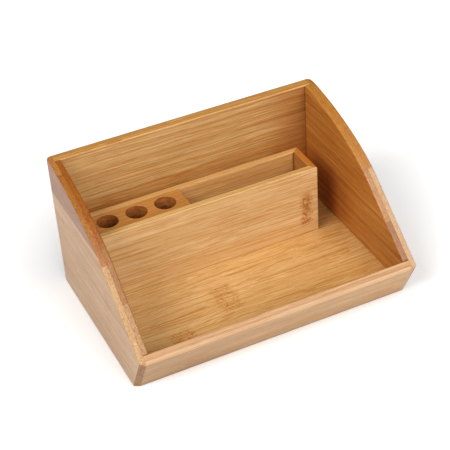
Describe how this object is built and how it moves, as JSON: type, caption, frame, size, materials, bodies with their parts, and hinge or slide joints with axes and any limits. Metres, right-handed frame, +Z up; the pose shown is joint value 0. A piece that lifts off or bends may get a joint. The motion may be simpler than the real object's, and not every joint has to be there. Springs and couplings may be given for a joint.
{
  "type": "desk organiser",
  "caption": "Open bamboo desk organiser with a tall back, sloping sides, a leaning front lip and an inner rack with round pen holes and a letter slot.",
  "frame": {"origin": "middle of the base, at the level of the desk it stands on", "axes": "+X towards the right as seen from the front, -Y towards the front lip, +Y towards the tall back, +Z up"},
  "size_m": [0.25, 0.1816, 0.129],
  "materials": {
    "bamboo_pale": "satin lacquer, pale straw bamboo",
    "bamboo_caramel": "satin lacquer, darker caramel bamboo",
    "bamboo_honey": "satin lacquer, honey bamboo"
  },
  "bodies": {
    "root": {"left_side_outer_ply": "bamboo_pale", "left_side_inner_ply": "bamboo_caramel", "right_side_outer_ply": "bamboo_pale", "right_side_inner_ply": "bamboo_caramel", "back_rear_ply": "bamboo_honey", "back_front_ply": "bamboo_honey", "lip_outer_ply": "bamboo_pale", "lip_inner_ply": "bamboo_honey", "floor_upper_ply": "bamboo_honey", "floor_lower_ply": "bamboo_honey", "rack_front_wall": "bamboo_honey", "rack_rear_wall": "bamboo_honey", "rack_end_wall": "bamboo_caramel", "pen_block": "bamboo_caramel"}
  },
  "joints": []
}
